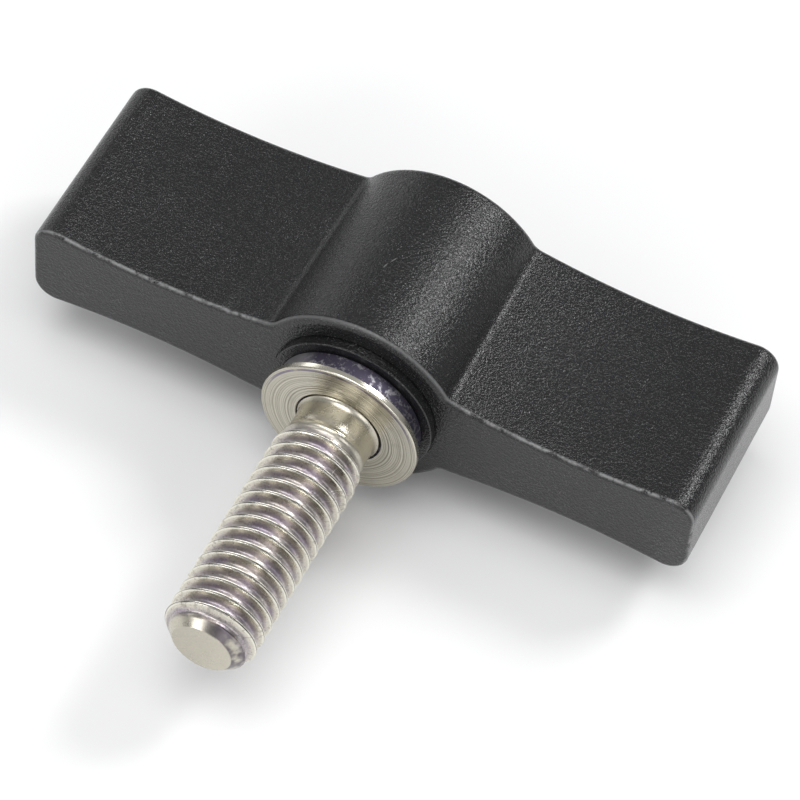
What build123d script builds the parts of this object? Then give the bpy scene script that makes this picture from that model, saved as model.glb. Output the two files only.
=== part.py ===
from build123d import *
from math import cos, pi, radians, sqrt, tan
import os

# A thumb screw with a moulded wing handle, lying on its broad side. All sizes are in millimetres.
# X runs along the wings, Y along the screw with the tip towards -Y, and Z is up.
# The origin is on the screw's axis, in the plane of the washer's front face.

# Steel stud: M6 thread, rolled between the neck and the chamfered tip
thread_diameter = 6.0
thread_pitch = 1.0
screw_reach = 20.0  # from the pad's face to the tip
tip_face_diameter = 3.9
tip_chamfer_angle = 45.0  # from the axis
shank_step = 0.2  # the shank's radius under the thread's
shank_lip = 0.06  # how far the full shank shows past the washer's face
neck_step = 0.18  # the neck's radius under the shank's
neck_cove_radius = 0.5
neck_length = 2.1  # from the washer's face to the thread's run-out, which is one pitch long

# Hexagonal head of the stud, moulded into the boss
head_across_flats = 10.0
head_thickness = 4.0
head_cover = 2.1  # plastic behind the head
head_corner_angle = 30.0  # slope of the turned corners, from the head's flat end
moulding_gap = 0.02  # what the plastic's shrinkage leaves round the steel

# Washer, held captive behind the thread and hanging on the shank
washer_diameter = 10.7
washer_thickness = 0.42
washer_clearance = 0.14  # radial, round the shank
washer_top_gap = 0.03  # what is left where the bore hangs on the shank
washer_edge_bevel = 0.2

# Spacer ring between the washer and the pad
ring_diameter = 9.74
ring_thickness = 1.35
ring_clearance = 0.05  # radial, round the shank
ring_edge_bevel = 0.12

# Moulded handle: a drafted boss with a raised pad, and two hollowed wings
handle_depth = 13.6
boss_diameter = 14.1  # at the front face
boss_draft_angle = 1.25
pad_ledge = 1.55  # from the boss's edge to the pad
pad_height = 0.8
pad_edge_bevel = 0.1
relief_width = 0.2
relief_depth = 0.25
wing_span = 45.6
waist_thickness = 5.76
waist_offset = 12.8  # from the axis to the wings' thinnest place
hollow_radius = 43.0
end_corner_radius = 1.6
valley_radius = 0.9
front_edge_radius = 0.4
back_edge_radius = 0.6

# Places along the axis, counted from the washer's face towards the handle's back
ring_front = washer_thickness
ring_back = ring_front + ring_thickness
handle_front = ring_back + pad_height
handle_back = handle_front + handle_depth
head_back = handle_back - head_cover
head_front = head_back - head_thickness
tip_end = ring_back - screw_reach

# Radii round the axis
thread_radius = thread_diameter / 2
shank_radius = thread_radius - shank_step
neck_radius = shank_radius - neck_step
tip_radius = tip_face_diameter / 2
boss_radius = boss_diameter / 2
pad_radius = boss_radius - pad_ledge

FROM_START = (Align.CENTER, Align.CENTER, Align.MIN)


def lay_down(shape):
    """Turns a piece modelled along +Z so that its axis runs along +Y."""
    return Rot(-90, 0, 0) * shape


def disc(radius, start, end):
    """A solid cylinder on the axis between two heights."""
    return Pos(0, 0, start) * Cylinder(radius, end - start, align=FROM_START)


def hexagon(across_flats, start, end):
    """A hexagonal prism on the axis, with two corners towards the wings."""
    face = RegularPolygon(across_flats / 2, 6, major_radius=False)
    return extrude(Pos(0, 0, start) * face, amount=end - start)


def half_thickness(distance):
    """Half the wing's thickness at a distance from the axis: an arc, thinnest at the waist."""
    return waist_thickness / 2 + hollow_radius - sqrt(hollow_radius**2 - (distance - waist_offset) ** 2)


def wing_face():
    """The front outline of one wing, from the axis to its rounded end."""
    half_span = wing_span / 2
    with BuildSketch() as sketch:
        with BuildLine():
            upper = ThreePointArc(
                (0, half_thickness(0)),
                (waist_offset, half_thickness(waist_offset)),
                (half_span, half_thickness(half_span)),
            )
            lower = mirror(upper, about=Plane.XZ)
            Line(upper @ 1, lower @ 1)
            Line(upper @ 0, lower @ 0)
        make_face()
        fillet(sketch.vertices().group_by(Axis.X)[-1], end_corner_radius)
    return sketch.sketch


def handle_blank():
    """The boss and both wings as one moulding, with soft valleys and rounded rims."""
    back_radius = boss_radius - handle_depth * tan(radians(boss_draft_angle))
    boss = Pos(0, 0, handle_front) * Cone(boss_radius, back_radius, handle_depth, align=FROM_START)
    wing = extrude(Pos(0, 0, handle_front) * wing_face(), amount=handle_depth)
    blank = boss + wing + mirror(wing, about=Plane.YZ)
    valleys = [
        edge
        for edge in blank.edges()
        if edge.bounding_box().size.Z > handle_depth / 2 and abs(edge.center().X) < boss_radius
    ]
    blank = fillet(valleys, valley_radius)
    flat_ends = blank.faces().filter_by(Axis.Z).sort_by(Axis.Z)
    blank = fillet(flat_ends[0].edges(), front_edge_radius)
    flat_ends = blank.faces().filter_by(Axis.Z).sort_by(Axis.Z)
    return fillet(flat_ends[-1].edges(), back_edge_radius)


def make_handle():
    """The handle with its raised pad, the relief round the pad and the cavity that grips the stud."""
    relief = disc(pad_radius + relief_width, handle_front, handle_front + relief_depth)
    pad = disc(pad_radius, ring_back, handle_front + relief_depth)
    pad_rim = pad.edges().filter_by(GeomType.CIRCLE).sort_by(Axis.Z)[0]
    pad = chamfer(pad_rim, pad_edge_bevel)
    shank_hole = disc(shank_radius + moulding_gap, ring_back, head_front)
    return handle_blank() - relief + pad - shank_hole - hex_head(moulding_gap)


def hex_head(gap):
    """The hexagonal head with its turned back corners, larger all round its sides by a gap."""
    flat_radius = head_across_flats / 2 + gap
    corner_radius = flat_radius / cos(pi / 6)
    corner_drop = (corner_radius - flat_radius) * tan(radians(head_corner_angle))
    with BuildSketch() as section:
        Polygon(
            (0, head_front),
            (corner_radius, head_front),
            (corner_radius, head_back - corner_drop),
            (flat_radius, head_back),
            (0, head_back),
            align=None,
        )
    turned = revolve(Plane.XZ * section.sketch, Axis.Z)
    return hexagon(2 * flat_radius, head_front, head_back) & turned


def stud_section():
    """Half section of the stud's round part, from the tip to the head."""
    tip_chamfer = (thread_radius - tip_radius) / tan(radians(tip_chamfer_angle))
    cove_length = sqrt(neck_cove_radius**2 - (neck_cove_radius - neck_step) ** 2)
    cove_start = -shank_lip
    cove_end = cove_start - cove_length
    with BuildSketch() as section:
        with BuildLine():
            Polyline(
                (0, head_front),
                (0, tip_end),
                (tip_radius, tip_end),
                (thread_radius, tip_end + tip_chamfer),
                (thread_radius, -neck_length - thread_pitch),
                (neck_radius, -neck_length),
                (neck_radius, cove_end),
            )
            RadiusArc((neck_radius, cove_end), (shank_radius, cove_start), neck_cove_radius)
            Polyline((shank_radius, cove_start), (shank_radius, head_front), (0, head_front))
        make_face()
    return section.sketch


def make_stud():
    """The steel stud: tip, thread body, neck, shank and hexagonal head in one piece."""
    return revolve(Plane.XZ * stud_section(), Axis.Z) + hex_head(0)


def flat_ring(outer_radius, bore_radius, start, end):
    """A flat ring on the axis between two heights."""
    return disc(outer_radius, start, end) - disc(bore_radius, start, end)


def outer_edges(blank):
    """The two outer edges of a flat ring, the front one first."""
    return blank.edges().filter_by(GeomType.CIRCLE).sort_by(SortBy.RADIUS)[-2:].sort_by(Axis.Z)


def make_ring():
    """The spacer ring, with both outer edges bevelled."""
    blank = flat_ring(ring_diameter / 2, shank_radius + ring_clearance, ring_front, ring_back)
    return chamfer(outer_edges(blank), ring_edge_bevel)


def make_washer():
    """The washer, its front edge bevelled, hanging on the shank by its clearance."""
    blank = flat_ring(washer_diameter / 2, shank_radius + washer_clearance, 0, ring_front)
    drop = washer_clearance - washer_top_gap
    return Pos(0, drop, 0) * chamfer(outer_edges(blank)[0], washer_edge_bevel)


os.makedirs("parts", exist_ok=True)
export_step(lay_down(make_handle()), "parts/wing_handle.step")
export_step(lay_down(make_stud()), "parts/threaded_stud.step")
export_step(lay_down(make_ring()), "parts/spacer_ring.step")
export_step(lay_down(make_washer()), "parts/captive_washer.step")
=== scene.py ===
import bmesh
import bpy
import random
from math import atan2, ceil, cos, exp, pi, radians, sin, sqrt, tan
from mathutils import Matrix, Vector, noise as perlin


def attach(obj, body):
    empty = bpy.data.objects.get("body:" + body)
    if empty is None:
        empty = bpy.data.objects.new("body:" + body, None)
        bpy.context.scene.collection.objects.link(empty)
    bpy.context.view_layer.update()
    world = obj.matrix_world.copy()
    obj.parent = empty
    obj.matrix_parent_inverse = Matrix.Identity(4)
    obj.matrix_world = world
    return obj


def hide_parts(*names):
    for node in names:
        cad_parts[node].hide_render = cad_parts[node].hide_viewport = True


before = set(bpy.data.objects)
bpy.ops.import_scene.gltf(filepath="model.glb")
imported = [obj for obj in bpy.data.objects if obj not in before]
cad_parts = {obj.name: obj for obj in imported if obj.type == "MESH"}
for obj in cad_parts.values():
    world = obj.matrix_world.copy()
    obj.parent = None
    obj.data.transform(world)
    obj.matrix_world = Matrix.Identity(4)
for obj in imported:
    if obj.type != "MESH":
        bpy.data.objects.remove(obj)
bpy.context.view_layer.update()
mm = 0.001

# THREADED STUD
# A cold-headed M6 screw blank of nickel plated steel. Its thread is rolled on, so the crests close in two
# lips with a fine crease between them and the roots are round. Its hexagonal head is moulded into the handle.


class Signal:
    """The output of a node. Arithmetic on it adds Math nodes to the same tree."""

    def __init__(self, tree, socket):
        self.tree = tree
        self.socket = socket

    def __getitem__(self, name):
        return Signal(self.tree, pick(self.socket.node.outputs, name))

    def math(self, operation, *others):
        """A Math node whose first number is this one."""
        return work_out(self.tree, operation, self, *others)

    def __add__(self, other):
        return work_out(self.tree, "ADD", self, other)

    def __sub__(self, other):
        return work_out(self.tree, "SUBTRACT", self, other)

    def __mul__(self, other):
        return work_out(self.tree, "MULTIPLY", self, other)

    def __truediv__(self, other):
        return work_out(self.tree, "DIVIDE", self, other)

    def __radd__(self, other):
        return work_out(self.tree, "ADD", other, self)

    def __rsub__(self, other):
        return work_out(self.tree, "SUBTRACT", other, self)

    def __rmul__(self, other):
        return work_out(self.tree, "MULTIPLY", other, self)

    def __rtruediv__(self, other):
        return work_out(self.tree, "DIVIDE", other, self)

    def step(self, low, high):
        """0 below low, 1 above high and a soft rise between, or the fall of it when low is the higher."""
        ends = {"Value": self, "From Min": min(low, high), "From Max": max(low, high)}
        if low > high:
            ends.update({"To Min": 1.0, "To Max": 0.0})
        return grow(self.tree, "ShaderNodeMapRange", {"interpolation_type": "SMOOTHSTEP"}, ends)


def pick(sockets, name):
    """A socket by its number, its identifier or its name."""
    if isinstance(name, int):
        return sockets[name]
    for socket in sockets:
        if socket.identifier == name:
            return socket
    return next(socket for socket in sockets if socket.name == name and socket.enabled)


def grow(tree, kind, settings=None, inputs=None):
    """Adds a node: its settings come first, then each input gets a link or a value."""
    node = tree.nodes.new(kind)
    for name, value in (settings or {}).items():
        setattr(node, name, value)
    for name, value in (inputs or {}).items():
        socket = pick(node.inputs, name)
        if isinstance(value, Signal):
            tree.links.new(value.socket, socket)
        else:
            socket.default_value = value
    shown = [socket for socket in node.outputs if socket.enabled]
    return Signal(tree, shown[0]) if shown else node


def work_out(tree, operation, *terms):
    """A Math node on numbers, in order."""
    return grow(tree, "ShaderNodeMath", {"operation": operation}, dict(enumerate(terms)))


def vectors(tree, operation, *terms):
    """A Vector Math node on vectors, in order."""
    return grow(tree, "ShaderNodeVectorMath", {"operation": operation}, dict(enumerate(terms)))


def blend(tree, share, first, second):
    """A colour between two colours."""
    rgb = {"data_type": "RGBA"}
    first, second = ((*c, 1.0) if isinstance(c, tuple) else c for c in (first, second))
    inputs = {"Factor_Float": share, "A_Color": first, "B_Color": second}
    return grow(tree, "ShaderNodeMix", rgb, inputs)["Result_Color"]


def noise(tree, place, size, detail=2.0, stretch=None, roughness=0.5):
    """Noise whose blobs are about size across, in metres, between 0 and 1."""
    if stretch:
        place = grow(tree, "ShaderNodeMapping", {"vector_type": "POINT"}, {"Vector": place, "Scale": stretch})
    inputs = {"Vector": place, "Scale": 1.0 / size, "Detail": detail, "Roughness": roughness}
    return grow(tree, "ShaderNodeTexNoise", None, inputs)


def new_finish(name):
    """An empty surface material, with its tree and the place on the piece."""
    finish = bpy.data.materials.new(name)
    finish.use_nodes = True
    tree = finish.node_tree
    tree.nodes.clear()
    place = grow(tree, "ShaderNodeTexCoord")["Object"]
    return finish, tree, place


def bumps(tree, height, strength, distance):
    """The normal of a skin raised by a height, which is counted in distances."""
    return grow(tree, "ShaderNodeBump", None, {"Strength": strength, "Distance": distance, "Height": height})


def show(tree, colour, roughness, normal=None, **constants):
    """The surface shader: colour, roughness and normal may vary, the rest is even."""
    inputs = {"Base Color": (*colour, 1.0) if isinstance(colour, tuple) else colour, "Roughness": roughness}
    inputs.update({name.replace("_", " "): value for name, value in constants.items()})
    if normal is not None:
        inputs["Normal"] = normal
    shader = grow(tree, "ShaderNodeBsdfPrincipled", None, inputs)
    grow(tree, "ShaderNodeOutputMaterial", None, {"Surface": shader})


def around_axis(tree, place, drop=0.0):
    """Distance from the screw's axis and the unit vector away from it; drop is how low the centre hangs."""
    flat = vectors(tree, "MULTIPLY_ADD", place, (1, 0, 1), (0, 0, drop))
    return vectors(tree, "LENGTH", flat)["Value"], vectors(tree, "NORMALIZE", flat)


def streak(tree, place, start, end, radius, width, overrun=0.0):
    """A thin mark on a round skin, 1 inside and 0 outside. Its ends are (degrees from the top, y in mm)."""
    ends = []
    for turn, y in (start, end):
        ends.append(Vector((radius * sin(radians(turn)), y * mm, radius * cos(radians(turn)))))
    span = ends[1] - ends[0]
    length = span.length / 2 + overrun
    offset = vectors(tree, "SUBTRACT", place, (ends[0] + ends[1]) / 2)
    reach = vectors(tree, "DOT_PRODUCT", offset, span.normalized())["Value"]
    total = vectors(tree, "LENGTH", offset)["Value"]
    across = (total * total - reach * reach) / (width * width)
    return (across + reach * reach / (length * length)).step(1.0, 0.2)


pitch = 1.0 * mm
tip_end = -18.23 * mm
tip_radius = 1.95 * mm
neck_length = 1.45 * mm
neck_radius = 2.62 * mm
thread_length = -neck_length - tip_end
crest_start = 0.2  # how far behind the tip's face the first crest crosses the top, in pitches
columns = 120

plating_colour = (0.64, 0.605, 0.515)
root_shade_colour = (0.28, 0.23, 0.335)
roll_mark_colour = (0.3, 0.27, 0.29)
pit_colour = (0.19, 0.17, 0.18)
painted_sparkle_colour = (0.88, 0.86, 0.8)
crest_rub_and_highlight_colour = (0.86, 0.85, 0.76)
crease_shade_colour = (0.09, 0.08, 0.1)
neck_colour = (0.44, 0.415, 0.34)
chamfer_shade_colour = (0.1, 0.082, 0.11)
tip_face_colour = (0.53, 0.5, 0.42)
smear_colour = (0.25, 0.22, 0.2)
lint_colour = (0.93, 0.92, 0.88)

# Lint caught on the crests: the places at which each fibre bends, as (degrees from the top, y in mm)
lint_radius = 2.97 * mm
lint_width = 0.045 * mm
lint_overrun = 0.06 * mm
fibres = [
    [(35.5, -7.13), (56, -5.87), (64, -4.75)],
    [(43, -6.51), (52, -6.53), (69, -5.53), (65, -5.08)],
    [(33.5, -4.0), (41.5, -4.01), (46.5, -4.52)],
]

stud_finish, tree, place = new_finish("rolled nickel")
radius, outward = around_axis(tree, place)
spot = grow(tree, "ShaderNodeSeparateXYZ", None, {0: place})
along = spot["Y"]
cloud = noise(tree, place, 1.6 * mm, detail=3)
pores = noise(tree, place, 0.1 * mm, detail=2)
drawn = noise(tree, place, 0.6 * mm, detail=3, stretch=(1, 8, 1))
smears = noise(tree, place, 0.3 * mm, detail=3)

# Where the thread is, and how far a place on it is from the crest, in turns
behind_tip = along.step(tip_end + 0.3 * mm, tip_end + 0.8 * mm)
threaded = behind_tip * along.step(-neck_length - 0.4 * mm, -neck_length - 1.7 * mm)
plain = 1.0 - threaded
turns = (along - tip_end) / pitch - spot["X"].math("ARCTAN2", spot["Z"]) / (2 * pi) - crest_start
from_crest = ((turns + 0.5).math("FRACT") - 0.5).math("ABSOLUTE")

# Painted shade in the roots, marks of the rolls, pits, painted sparkle highlights, crests rubbed and painted
# lighter as a highlight, and painted shade in the crease
valley = radius.step(2.88 * mm, 2.5 * mm) * threaded
dull = cloud.step(0.35, 0.7)
# painted shade: the roots darken towards violet, patchily
colour = blend(tree, valley * (0.35 + dull * 0.45), plating_colour, root_shade_colour)
roll_bands = {"W": from_crest + cloud * 0.08, "Scale": 24.0, "Detail": 2.0}
rolled = grow(tree, "ShaderNodeTexNoise", {"noise_dimensions": "1D"}, roll_bands)
colour = blend(tree, rolled.step(0.5, 0.7) * threaded * 0.35, colour, roll_mark_colour)
colour = blend(tree, pores.step(0.56, 0.7) * (0.5 + valley * 0.35), colour, pit_colour)
# painted sparkle highlights: light specks on the plating
colour = blend(tree, pores.step(0.36, 0.26) * 0.6, colour, painted_sparkle_colour)
# the crests are rubbed, and also painted lighter as a highlight
colour = blend(tree, from_crest.step(0.15, 0.1) * threaded * 0.6, colour, crest_rub_and_highlight_colour)
# painted shade in the crease between the crest's lips
colour = blend(tree, from_crest.step(0.05, 0.02) * threaded * 0.85, colour, crease_shade_colour)

# The plain neck, painted shade on the right side of the tip's chamfer, the tip's face, smears and lint
colour = blend(tree, plain * 0.5, colour, neck_colour)
# painted shade: the chamfer darkens on its right side, patchily
shaded_chamfer = along.step(tip_end + 0.9 * mm, tip_end + 0.6 * mm) * radius.step(tip_radius, tip_radius + 0.08 * mm)
shaded_chamfer = shaded_chamfer * spot["X"].step(-0.6 * mm, 1.0 * mm) * noise(tree, place, 0.8 * mm).step(0.3, 0.6)
colour = blend(tree, shaded_chamfer * 0.85, colour, chamfer_shade_colour)
end_face = along.step(tip_end + 0.03 * mm, tip_end + 0.01 * mm)
colour = blend(tree, end_face * pores.step(0.4, 0.6) * 0.6, colour, tip_face_colour)
colour = blend(tree, smears.step(0.55, 0.68) * threaded * 0.5, colour, smear_colour)
on_axis = grow(tree, "ShaderNodeCombineXYZ", None, {"Y": along})
crests = vectors(tree, "MULTIPLY_ADD", outward, (lint_radius, lint_radius, lint_radius), on_axis)
for bends in fibres:
    for start, end in zip(bends, bends[1:]):
        fibre = streak(tree, crests, start, end, lint_radius, lint_width, lint_overrun)
        colour = blend(tree, fibre * 0.8, colour, lint_colour)
stud_normal = bumps(tree, drawn * (0.3 + plain * 1.1) + pores, 0.6, 0.007 * mm)
show(tree, colour, 0.2 + plain * 0.06 + dull * 0.08 + valley * 0.14, stud_normal, Metallic=1.0)

# The crest's and the flank's shares are of half a turn, the roundings and the crease's depth are shares of
# the thread's depth, and the crease's spread is the square of its width in half turns
thread_sizes = {
    "Pitch": pitch,
    "Tip": tip_end,
    "Length": thread_length,
    "Crest radius": 2.985 * mm,
    "Root radius": 2.42 * mm,
    "Blank radius": neck_radius,
    "Tip radius": tip_radius,
    "Chamfer rounding": 0.06 * mm,
    "Run-in": 2.1 * pitch,
    "Phase": crest_start - 0.5,
    "Crest share": 0.17,
    "Flank share": 0.52,
    "Crest rounding": 0.1,
    "Root rounding": 0.34,
    "Crease spread": 0.006,
    "Crease depth": 0.11,
    "Unevenness": 0.024 * mm,
    "Unevenness scale": 900.0,
    "Unevenness radius": 3.0 * mm,
    "Even end": 0.4 * mm,
    "Crowding": 0.7 / (2 * pi),
    "Turns": ceil(thread_length / pitch) + 2,
    "Columns": columns,
    "Rows per turn": 34,
    "Seed": 3.0,
    "Metal": stud_finish,
}


def rolled_thread_tree():
    """A helical grid laid round the axis. Its rows follow the thread, which keeps crests and roots clean."""
    kinds = {int: "NodeSocketInt", float: "NodeSocketFloat"}
    tree = bpy.data.node_groups.new("rolled thread", "GeometryNodeTree")
    for name, value in thread_sizes.items():
        kind = kinds.get(type(value), "NodeSocketMaterial")
        tree.interface.new_socket(name=name, in_out="INPUT", socket_type=kind)
    tree.interface.new_socket(name="Thread", in_out="OUTPUT", socket_type="NodeSocketGeometry")
    given = grow(tree, "NodeGroupInput")
    size = {name: given[name] for name in thread_sizes}

    rows = size["Turns"] * size["Rows per turn"]
    counts = {"Size X": 1.0, "Size Y": 1.0, "Vertices X": size["Columns"] + 1, "Vertices Y": rows + 1}
    grid = grow(tree, "GeometryNodeMeshGrid", None, counts)
    where = grow(tree, "ShaderNodeSeparateXYZ", None, {0: grow(tree, "GeometryNodeInputPosition")})
    share = where["X"] + 0.5
    turn = (where["Y"] + 0.5) * size["Turns"]

    # Rows crowd towards the crest in the middle of each turn
    turn = turn + (turn * (2 * pi)).math("SINE") * size["Crowding"]
    along = (turn + share - 1.0 + size["Phase"]) * size["Pitch"]
    along = along.math("MAXIMUM", 0.0).math("MINIMUM", size["Length"])

    # Across one turn: flanks with a rounded crest and root, and the crease between the crest's lips
    from_crest = (turn.math("FRACT") - 0.5).math("ABSOLUTE") * 2.0
    flank = 1.0 - (from_crest - size["Crest share"]) / size["Flank share"]
    flank = flank.math("SMOOTH_MIN", 1.0, size["Crest rounding"])
    flank = flank.math("SMOOTH_MAX", 0.0, size["Root rounding"])
    crease = (0.0 - from_crest * from_crest / size["Crease spread"]).math("EXPONENT")
    profile = flank - crease * size["Crease depth"]

    # The first turns grow out of the plain neck, and a chamfer of 45 degrees ends the last ones
    grown = ((size["Length"] - along) / size["Run-in"]).step(0.0, 1.0)
    full = size["Root radius"] + profile * (size["Crest radius"] - size["Root radius"])
    radius = size["Blank radius"] + (full - size["Blank radius"]) * grown
    radius = radius.math("SMOOTH_MIN", size["Tip radius"] + along, size["Chamfer rounding"])

    # The rolls leave the skin a little uneven
    angle = share * (2 * pi)
    sine, cosine = angle.math("SINE"), angle.math("COSINE")
    skin = {"X": sine * size["Unevenness radius"], "Y": along, "Z": cosine * size["Unevenness radius"]}
    sample = {"Vector": grow(tree, "ShaderNodeCombineXYZ", None, skin), "W": size["Seed"], "Detail": 3.0}
    sample["Scale"] = size["Unevenness scale"]
    uneven = grow(tree, "ShaderNodeTexNoise", {"noise_dimensions": "4D"}, sample)
    behind_tip = (along / size["Even end"]).step(0.0, 1.0)
    radius = radius + (uneven - 0.5) * size["Unevenness"] * behind_tip * grown

    round_axis = {"X": sine * radius, "Y": along + size["Tip"], "Z": cosine * radius}
    position = grow(tree, "ShaderNodeCombineXYZ", None, round_axis)
    laid = grow(tree, "GeometryNodeSetPosition", None, {"Geometry": grid, "Position": position})
    merged = grow(tree, "GeometryNodeMergeByDistance", None, {"Geometry": laid, "Distance": 0.001 * mm})
    real = grow(tree, "GeometryNodeRealizeInstances", None, {"Geometry": merged})
    done = grow(tree, "GeometryNodeSetMaterial", None, {"Geometry": real, "Material": size["Metal"]})
    grow(tree, "NodeGroupOutput", None, {"Thread": done})
    return tree


def grow_mesh(name, tree, sizes):
    """Runs a tree of geometry nodes on an empty object and keeps the result as a plain mesh."""
    seed_object = bpy.data.objects.new(name + "_seed", bpy.data.meshes.new(name + "_seed"))
    bpy.context.scene.collection.objects.link(seed_object)
    modifier = seed_object.modifiers.new(name, "NODES")
    modifier.node_group = tree
    for socket in tree.interface.items_tree:
        if socket.in_out == "INPUT":
            modifier[socket.identifier] = sizes[socket.name]
    ready = seed_object.evaluated_get(bpy.context.evaluated_depsgraph_get())
    mesh = bpy.data.meshes.new_from_object(ready)
    seed_object.modifiers.remove(modifier)
    bpy.data.objects.remove(seed_object)
    return mesh


def add_ring(shape, angles, radius, y):
    """A ring of points round the axis. Its radius and its place along the axis may follow the angle."""
    ring = []
    for angle in angles:
        r = radius(angle) if callable(radius) else radius
        height = y(angle) if callable(y) else y
        ring.append(shape.verts.new((r * sin(angle), height, r * cos(angle))))
    return ring


def skin_rings(shape, rings):
    """Faces between each ring and the next."""
    for low, high in zip(rings, rings[1:]):
        for i in range(len(low)):
            j = (i + 1) % len(low)
            shape.faces.new((low[i], low[j], high[j], high[i]))


def add_turned(shape, outline):
    """Turns an outline of (radius, y) points round the axis."""
    angles = [2 * pi * i / columns for i in range(columns)]
    rings = [add_ring(shape, angles, radius, y) for radius, y in outline]
    skin_rings(shape, rings)
    return rings


def close_centre(shape, ring, y):
    """Closes a ring with a fan of faces to a point on the axis."""
    middle = shape.verts.new((0, y, 0))
    for i in range(len(ring)):
        shape.faces.new((ring[i], ring[(i + 1) % len(ring)], middle))


def to_piece(name, shape, finish, sharp_angle=38):
    """Turns a closed bmesh into a smooth-shaded object with crisp edges."""
    bmesh.ops.remove_doubles(shape, verts=shape.verts[:], dist=0.001 * mm)
    bmesh.ops.recalc_face_normals(shape, faces=shape.faces[:])
    mesh = bpy.data.meshes.new(name)
    shape.to_mesh(mesh)
    shape.free()
    mesh.materials.append(finish)
    mesh.shade_smooth()
    mesh.set_sharp_from_angle(angle=radians(sharp_angle))
    piece = bpy.data.objects.new(name, mesh)
    bpy.context.scene.collection.objects.link(piece)
    return piece


stud_shape = bmesh.new()
stud_shape.from_mesh(grow_mesh("rolled_thread", rolled_thread_tree(), thread_sizes))

# Tip: a faced end with the small pip that parting-off leaves, as (share of the tip's radius, depth in mm)
pip = [(1.0, 0.0), (0.975, 0.0), (0.5, 0.0), (0.2, 0.0), (0.15, 0.012), (0.09, 0.012), (0.06, 0.002)]
tip_outline = [(tip_radius * share, tip_end + depth * mm) for share, depth in pip]
tip_rings = add_turned(stud_shape, tip_outline)
close_centre(stud_shape, tip_rings[-1], tip_outline[-1][1])

# Neck, the cove up to the shank's lip, the shank inside the ring and the boss, and the head
shank_radius = 2.8 * mm
shank_lip = 0.06 * mm
cove_radius = 0.5 * mm
cove_length = sqrt(cove_radius**2 - (cove_radius - shank_radius + neck_radius) ** 2)
cove_start = -shank_lip - cove_length
head_front, head_back = 10.07 * mm, 14.07 * mm
flat_radius = 5.0 * mm
head_corner_slope = tan(radians(30))
neck_steps, cove_steps = 12, 8


def hexagon_radius(angle):
    """The head's radius at an angle round the axis: two of its corners point along the wings."""
    return flat_radius / cos((angle + pi / 6) % (pi / 3) - pi / 6)


def head_edge(angle):
    """Place along the axis of the turned edge at the back of the head."""
    return head_back - (hexagon_radius(angle) - flat_radius) * head_corner_slope


neck_outline = []
for i in range(neck_steps + 1):
    neck_outline.append((neck_radius, -neck_length + (cove_start + neck_length) * i / neck_steps))
for i in range(1, cove_steps + 1):
    reach = cove_length * i / cove_steps
    neck_outline.append((neck_radius + cove_radius - sqrt(cove_radius**2 - reach**2), cove_start + reach))
neck_outline += [(shank_radius, 0.0), (shank_radius, head_front), (hexagon_radius, head_front)]
neck_outline += [(hexagon_radius, head_edge), (flat_radius, head_back), (flat_radius / 2, head_back)]
neck_rings = add_turned(stud_shape, neck_outline)
close_centre(stud_shape, neck_rings[-1], head_back)

stud = to_piece("rolled_stud", stud_shape, stud_finish)
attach(stud, "root")
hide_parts("threaded_stud")

# HANDLE
# The wings, boss and pad are one moulding in glass-filled nylon, shot round the stud's head. The mould was
# spark-eroded, which leaves a fine pebbled grain. The rims are worn a little by hands and painted lighter as
# a highlight.
handle_front, handle_back = 2.42 * mm, 16.02 * mm
boss_radius = 7.044 * mm
boss_draft = tan(radians(0.5))
half_span = 22.7 * mm
half_waist = 2.95 * mm
waist_offset = 14.4 * mm
hollow_radius = 50.0 * mm
corner_radius = 1.5 * mm
valley_radius = 0.9 * mm
front_rim, back_rim = 0.3 * mm, 0.5 * mm
boss_rim_extra, boss_rim_reach = 0.7, 6.6 * mm
pad_face, pad_radius, pad_bevel = 1.77 * mm, 5.5 * mm, 0.07 * mm
relief_radius, relief_depth = 5.6 * mm, 0.1 * mm
cavity_gap = 0.02 * mm
boss_steps, valley_steps, hollow_steps, corner_steps, end_steps = 20, 12, 70, 12, 6
rim_steps = 8

# Wear of the front rim
wear_reach = 0.4 * mm
wave_depth, waves_per_metre = 0.03 * mm, 700
nick_place = Vector((-9.0 * mm, 3.24 * mm))
nick_radius, nick_depth = 0.24 * mm, 0.14 * mm


def arc(centre, radius, side, start, end, steps):
    """Points of an arc, each as (centre, radius, side, angle from +Z towards +X); side is -1 in a hollow."""
    return [(centre, radius, side, start + (end - start) * i / steps) for i in range(steps)]


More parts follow.
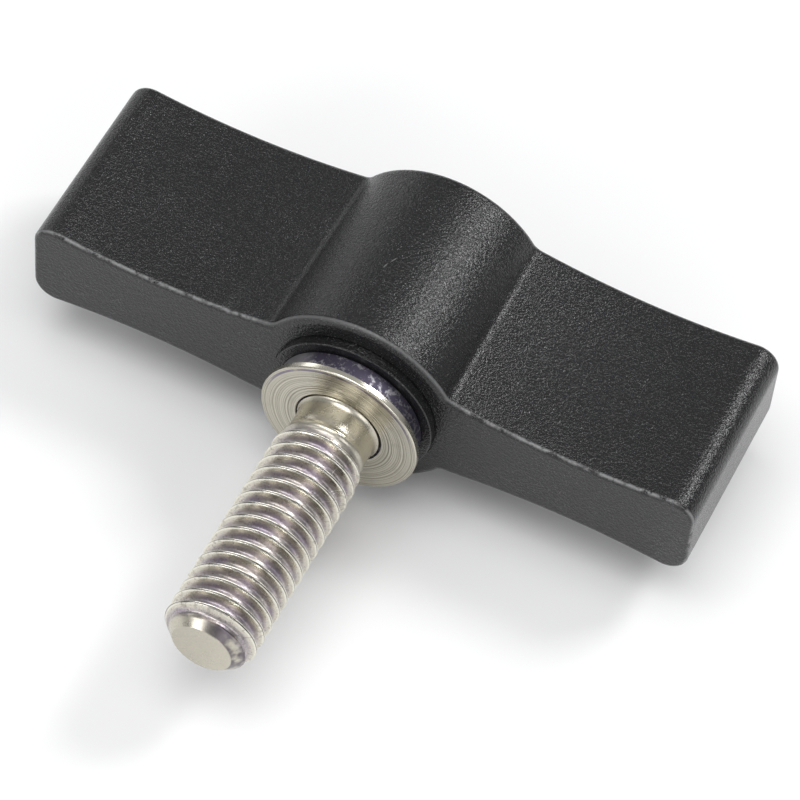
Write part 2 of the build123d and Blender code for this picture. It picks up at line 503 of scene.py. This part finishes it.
def quarter_outline(y):
    """The outline at one place along the axis, from the boss's top to the middle of the right wing's end."""
    axis = Vector((0.0, 0.0))
    boss = boss_radius - (y - handle_front) * boss_draft
    hollow = Vector((waist_offset, half_waist + hollow_radius))
    near, far = boss + valley_radius, hollow_radius - valley_radius
    along = (near**2 - far**2 + hollow.length_squared) / (2 * hollow.length)
    aside = sqrt(near**2 - along**2)
    towards = hollow.normalized()
    valley = towards * along + Vector((towards.y, -towards.x)) * aside
    corner_x = half_span - corner_radius
    corner_drop = sqrt((hollow_radius + corner_radius) ** 2 - (corner_x - hollow.x) ** 2)
    corner = Vector((corner_x, hollow.y - corner_drop))

    boss_end = atan2(valley.x, valley.y)
    wing_start = atan2(valley.x - hollow.x, valley.y - hollow.y)
    wing_end = atan2(corner.x - hollow.x, corner.y - hollow.y) - 2 * pi
    points = arc(axis, boss, 1, 0.0, pi / 6, boss_steps)
    points += arc(axis, boss, 1, pi / 6, boss_end, boss_steps)
    points += arc(valley, valley_radius, -1, boss_end - pi, wing_start, valley_steps)
    points += arc(hollow, hollow_radius, -1, wing_start, wing_end, hollow_steps)
    points += arc(corner, corner_radius, 1, wing_end + pi, pi / 2, corner_steps)
    for i in range(end_steps + 1):
        points.append((Vector((corner_x, corner.y * (1 - i / end_steps))), corner_radius, 1, pi / 2))
    return points


def whole_outline(y, inset=0.0):
    """The outline all round at one place along the axis as (x, z) points, moved inwards by an inset."""
    quarter = []
    for centre, radius, side, angle in quarter_outline(y):
        quarter.append(centre + (radius - side * inset) * Vector((sin(angle), cos(angle))))
    right = quarter + [Vector((p.x, -p.y)) for p in reversed(quarter[:-1])]
    return right + [Vector((-p.x, p.y)) for p in reversed(right[1:-1])]


def spoke_angles():
    """The angle at which each column of the outline meets the round pad."""
    outline = quarter_outline(handle_front)
    quarter = [angle for centre, radius, side, angle in outline[: 2 * boss_steps]]
    left_over = len(outline) - len(quarter)
    last = quarter[-1]
    quarter += [last + (pi / 2 - last) * (i + 1) / left_over for i in range(left_over)]
    right = quarter + [pi - angle for angle in reversed(quarter[:-1])]
    return right + [2 * pi - angle for angle in reversed(right[1:-1])]


def handle_layers():
    """Places along the axis and insets of the outline, from the front face round both rims to the back."""
    turns = [i / rim_steps * pi / 2 for i in range(rim_steps + 1)]
    side_start, side_end = handle_front + front_rim, handle_back - back_rim
    layers = [(handle_front, front_rim * share) for share in (1.6, 1.05)]
    for turn in turns:
        layers.append((handle_front + front_rim * (1 - cos(turn)), front_rim * (1 - sin(turn))))
    for share in (0.002, 0.25, 0.5, 0.75, 0.998):
        layers.append((side_start + (side_end - side_start) * share, 0.0))
    for turn in reversed(turns):
        layers.append((handle_back - back_rim * (1 - cos(turn)), back_rim * (1 - sin(turn))))
    return layers + [(handle_back, back_rim * share) for share in (1.03, 1.5)]


def wear(point, y):
    """How far the front rim is rubbed in at a place: slow waves, and a nick in the left wing."""
    near_front = exp(-(((y - handle_front) / wear_reach) ** 2))
    wave = perlin.noise(Vector((point.x, y, point.y)) * waves_per_metre) * 0.5 + 0.5
    nick = exp(-(((point - nick_place).length / nick_radius) ** 2))
    return near_front * (wave * wave_depth + nick * nick_depth)


def cavity_radius(angle):
    """The cavity's radius round the stud's head."""
    return hexagon_radius(angle) * (1 + cavity_gap / flat_radius)


handle_shape = bmesh.new()
rub_and_highlight_layer = handle_shape.verts.layers.float.new("rub_and_highlight")
spokes = spoke_angles()
pad_outline = [
    (cavity_radius, head_edge),
    (cavity_radius, head_front),
    (shank_radius + cavity_gap, head_front),
    (shank_radius + cavity_gap, pad_face),
    (pad_radius - 2 * pad_bevel, pad_face),
    (pad_radius - pad_bevel, pad_face),
    (pad_radius, pad_face + pad_bevel),
    (pad_radius, handle_front + relief_depth),
    (relief_radius, handle_front + relief_depth),
    (relief_radius, handle_front),
]
handle_rings = [add_ring(handle_shape, spokes, radius, y) for radius, y in pad_outline]

# The front rim is rounder on the boss than on the wings, and its wear and painted highlight are strongest
# halfway round it
for y, inset in handle_layers():
    in_front = y < handle_front + front_rim * 1.001
    turn = min((y - handle_front) / front_rim, 1.0)
    ring = []
    for point, inner in zip(whole_outline(y, inset), whole_outline(y, inset + mm)):
        rounder = boss_rim_extra * exp(-((point.x / boss_rim_reach) ** 8)) if in_front else 0.0
        moved = point + (inner - point) * ((wear(point, y) + inset * rounder) / mm)
        ring.append(handle_shape.verts.new((moved.x, y + (y - handle_front) * rounder, moved.y)))
        ring[-1][rub_and_highlight_layer] = (4 * turn * (1 - turn)) ** 3
    handle_rings.append(ring)
handle_rings.append(add_ring(handle_shape, spokes, pad_radius, handle_back))
skin_rings(handle_shape, handle_rings)
close_centre(handle_shape, handle_rings[0], head_back + cavity_gap)
close_centre(handle_shape, handle_rings[-1], handle_back)

plastic_colour = (0.0085, 0.0085, 0.009)
painted_glint_colour = (0.15, 0.15, 0.153)
rub_and_highlight_colour = (0.2, 0.2, 0.203)
scuff_colour = (0.16, 0.16, 0.16)

# Scuffs on the boss: the two ends of each, as (degrees from the top, y in mm)
scuff_radius = 7.0 * mm
scuff_width = 0.05 * mm
scuffs = [
    [(-6.9, 8.05), (-4.6, 8.6)],
    [(-8.6, 7.45), (-7.5, 7.95)],
    [(-13, 4.3), (-13, 4.45)],
]
handle_finish, tree, place = new_finish("eroded black plastic")
warp = noise(tree, place, 0.2 * mm, detail=1)["Color"]
bent = vectors(tree, "MULTIPLY_ADD", warp, (0.12 * mm, 0.12 * mm, 0.12 * mm), place)
pebbles = noise(tree, bent, 0.17 * mm, detail=2, roughness=0.55)
specks = noise(tree, place, 0.08 * mm, detail=1)
patches = noise(tree, place, 4.0 * mm, detail=2)
worn = noise(tree, place, 0.45 * mm, detail=3).step(0.34, 0.6)
# painted glints: sparse light specks in the grain, denser in patches
painted_glints = specks.step(0.65, 0.73) * (0.4 + patches.step(0.45, 0.7) * 0.6)
colour = blend(tree, painted_glints, plastic_colour, painted_glint_colour)

# The boss's rim carries the wear and painted highlight all along, but in a finer and fainter line than the
# wings'
rub_and_highlight = grow(tree, "ShaderNodeAttribute", {"attribute_name": "rub_and_highlight"})["Fac"]
aside = grow(tree, "ShaderNodeSeparateXYZ", None, {0: place})["X"]
on_boss = aside.step(-7.4 * mm, -6.8 * mm) * aside.step(7.4 * mm, 6.8 * mm)
rub_and_highlight = rub_and_highlight * worn.math("MAXIMUM", on_boss) * (1.0 - on_boss * (1.0 - rub_and_highlight))
# painted highlight along the front rims, partly wear
colour = blend(tree, rub_and_highlight * (0.95 - on_boss * 0.4), colour, rub_and_highlight_colour)
for start, end in scuffs:
    scuff = streak(tree, place, start, end, scuff_radius, scuff_width)
    colour = blend(tree, scuff * 0.7, colour, scuff_colour)
handle_normal = bumps(tree, pebbles + specks * 0.3, 1.0, 0.056 * mm)
show(tree, colour, 0.17 + patches * 0.05, handle_normal, Specular_IOR_Level=0.5)
handle = to_piece("moulded_wings", handle_shape, handle_finish)
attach(handle, "root")
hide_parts("wing_handle")

# SPACER RING
# A short collar of plated steel, slipped over the shank between the pad and the washer. Its side is scuffed,
# and carries mottled tarnish with painted shade all round but for the left.
scuffed_colour = (0.33, 0.32, 0.34)
tarnish_and_shade_colour = (0.09, 0.08, 0.115)
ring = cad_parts["spacer_ring"]
ring_finish, tree, place = new_finish("scuffed plating")
mottle = noise(tree, place, 0.35 * mm, detail=3, roughness=0.65)
side = grow(tree, "ShaderNodeSeparateXYZ", None, {0: place})["X"]
# mottled tarnish and painted shade, kept off the left side
tarnish_and_shade = mottle.step(0.66, 0.5) * side.step(-3.4 * mm, -2.2 * mm)
colour = blend(tree, tarnish_and_shade, scuffed_colour, tarnish_and_shade_colour)
ring_normal = bumps(tree, mottle, 0.3, 0.01 * mm)
show(tree, colour, 0.45 + mottle.step(0.6, 0.45) * 0.12, ring_normal, Metallic=1.0)
ring.data.materials[0] = ring_finish

# CAPTIVE WASHER
# A thin washer turned from bar and nickel plated. Its face keeps the tool's uneven grooves and its rim is
# rolled over. It is threaded over the screw and then hangs loose on the shank.
washer_radius = 5.35 * mm
washer_thickness = 0.42 * mm
washer_bevel = 0.12 * mm
washer_drop = 0.11 * mm
bore_radius = 2.94 * mm
bore_bevel = 0.03 * mm
bright_groove_colour = (0.68, 0.65, 0.56)
dull_groove_colour = (0.4, 0.375, 0.31)
cloud_colour = (0.42, 0.4, 0.34)
rolled_rim_shade_colour = (0.2, 0.165, 0.27)
washer_finish, tree, place = new_finish("turned nickel")
radius, outward = around_axis(tree, place, washer_drop)
cloud = noise(tree, place, 1.2 * mm, detail=3)
sway = noise(tree, place, 3.0 * mm, detail=1)
groove_bands = {"W": radius + sway * 0.12 * mm, "Scale": 9500.0, "Detail": 2.0, "Roughness": 0.75}
lines = grow(tree, "ShaderNodeTexNoise", {"noise_dimensions": "1D"}, groove_bands)
face = grow(tree, "ShaderNodeNewGeometry")["Normal"]
tilt = {0: outward, "Scale": (lines - 0.5) * 0.7}
lean = grow(tree, "ShaderNodeVectorMath", {"operation": "SCALE"}, tilt)
turned_normal = vectors(tree, "NORMALIZE", vectors(tree, "ADD", face, lean))
colour = blend(tree, lines.step(0.38, 0.6), dull_groove_colour, bright_groove_colour)
colour = blend(tree, cloud.step(0.5, 0.75) * 0.4, colour, cloud_colour)
# painted shade: a patchy dark violet band on the upper side of the rolled rim
rolled_in = radius.step(5.0 * mm, 5.07 * mm) * radius.step(5.22 * mm, 5.15 * mm)
shaded_top_side = grow(tree, "ShaderNodeSeparateXYZ", None, {0: outward})["Z"].step(0.1, 0.6)
colour = blend(tree, rolled_in * shaded_top_side * cloud.step(0.3, 0.5) * 0.8, colour, rolled_rim_shade_colour)
show(tree, colour, 0.2 + cloud * 0.08, turned_normal, Metallic=1.0)

# Grooves: their depth in mm wanders from ring to ring, and both edges of the face are broken
grooves = random.Random(11)
deepest_groove = 0.012
groove_change = 0.004
broken_edge = 0.004
face_rings = 90
bevel_steps = 6
face_start, face_end = bore_radius + bore_bevel, washer_radius - washer_bevel
washer_outline = [(bore_radius, washer_thickness), (bore_radius, bore_bevel)]
depth = 0.0
for i in range(face_rings):
    share = i / (face_rings - 1)
    depth = min(max(depth + grooves.uniform(-groove_change, groove_change), 0.0), deepest_groove)
    edge = 0.0 if 0 < i < face_rings - 1 else broken_edge
    washer_outline.append((face_start + (face_end - face_start) * share, (depth + edge) * mm))
for i in range(1, bevel_steps + 1):
    turn = i / bevel_steps * pi / 2
    washer_outline.append((face_end + washer_bevel * sin(turn), washer_bevel * (1 - cos(turn))))
washer_outline += [(washer_radius, washer_thickness), (bore_radius, washer_thickness)]
washer_shape = bmesh.new()
add_turned(washer_shape, washer_outline)
bmesh.ops.translate(washer_shape, verts=washer_shape.verts[:], vec=(0, 0, -washer_drop))
washer = to_piece("turned_washer", washer_shape, washer_finish)
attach(washer, "root")
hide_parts("captive_washer")

# STAGE
# A pale seamless floor just under the boss, soft boxes above, in front and behind, an even sky, and a camera
# with a long lens that looks down over the tip from the right.
floor_height = -7.05 * mm
floor_finish, tree, place = new_finish("pale floor")
show(tree, (0.86, 0.86, 0.86), 0.7)
bpy.ops.mesh.primitive_plane_add(size=3.0, location=(0, 0, floor_height))
floor = bpy.context.object
floor.name = "floor"
floor.data.materials.append(floor_finish)


def soft_box(name, towards, distance, width, depth, power):
    """A white area light that looks at the part from a direction."""
    lamp = bpy.data.lights.new(name, "AREA")
    lamp.shape = "RECTANGLE"
    lamp.size = width
    lamp.size_y = depth
    lamp.energy = power
    holder = bpy.data.objects.new(name, lamp)
    holder.location = Vector(towards).normalized() * distance
    holder.rotation_euler = Vector(towards).to_track_quat("Z", "Y").to_euler()
    bpy.context.scene.collection.objects.link(holder)


soft_box("key", (0.43, 0.545, 0.73), 0.6, 0.16, 0.16, 1.25)
soft_box("overhead", (-0.05, -0.15, 1.0), 0.6, 0.5, 0.45, 2.2)
soft_box("front", (-0.5, -1.0, 0.45), 0.7, 0.3, 0.3, 1.0)
soft_box("fill", (0.8, -0.8, 0.5), 0.9, 0.5, 0.5, 1.6)
soft_box("window", (-0.81, 0.54, 0.4), 0.7, 0.22, 0.22, 0.27)

sky = bpy.data.worlds.new("studio")
sky.use_nodes = True
sky.node_tree.nodes["Background"].inputs["Color"].default_value = (0.97, 0.98, 1.0, 1.0)
sky.node_tree.nodes["Background"].inputs["Strength"].default_value = 0.36
bpy.context.scene.world = sky
bpy.context.scene.view_settings.view_transform = "Standard"

camera_place = Vector((57.43, -139.04, 213.78)) * mm
right = Vector((0.8969, 0.4379, 0.0618)).normalized()
back = Vector((0.2091, -0.5429, 0.8133)).normalized()
up = back.cross(right).normalized()
right = up.cross(back)
turned = Matrix((right, up, back)).transposed().to_4x4()
camera = bpy.data.objects.new("camera", bpy.data.cameras.new("camera"))
camera.data.lens = 191.0
camera.data.sensor_width = 36.0
camera.data.clip_start = 0.01
camera.matrix_world = Matrix.Translation(camera_place) @ turned
bpy.context.scene.collection.objects.link(camera)
bpy.context.scene.camera = camera
